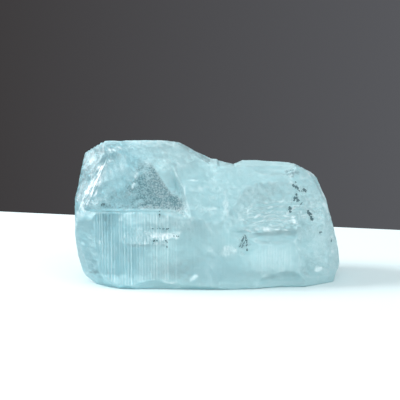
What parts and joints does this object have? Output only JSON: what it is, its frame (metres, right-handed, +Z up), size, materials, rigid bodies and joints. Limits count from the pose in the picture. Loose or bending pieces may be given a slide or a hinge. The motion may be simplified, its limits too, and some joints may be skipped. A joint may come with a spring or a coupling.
{
  "type": "blue topaz crystal",
  "caption": "Loose pale blue topaz crystal fragment with striated prism faces, flat cleavage plateaus and ledges, and shell-like broken ends, lying on its flat cleavage base.",
  "frame": {"origin": "middle of the crystal's box, on the surface it rests on", "axes": "+X along the crystal's length from its high end to its low end, +Z up along its c axis, striated front face towards -Y"},
  "size_m": [0.0472, 0.0248, 0.0249],
  "materials": {
    "topaz": "clear to frosted natural crystal, pale blue"
  },
  "bodies": {
    "root": {"topaz_crystal": "topaz"}
  },
  "joints": []
}
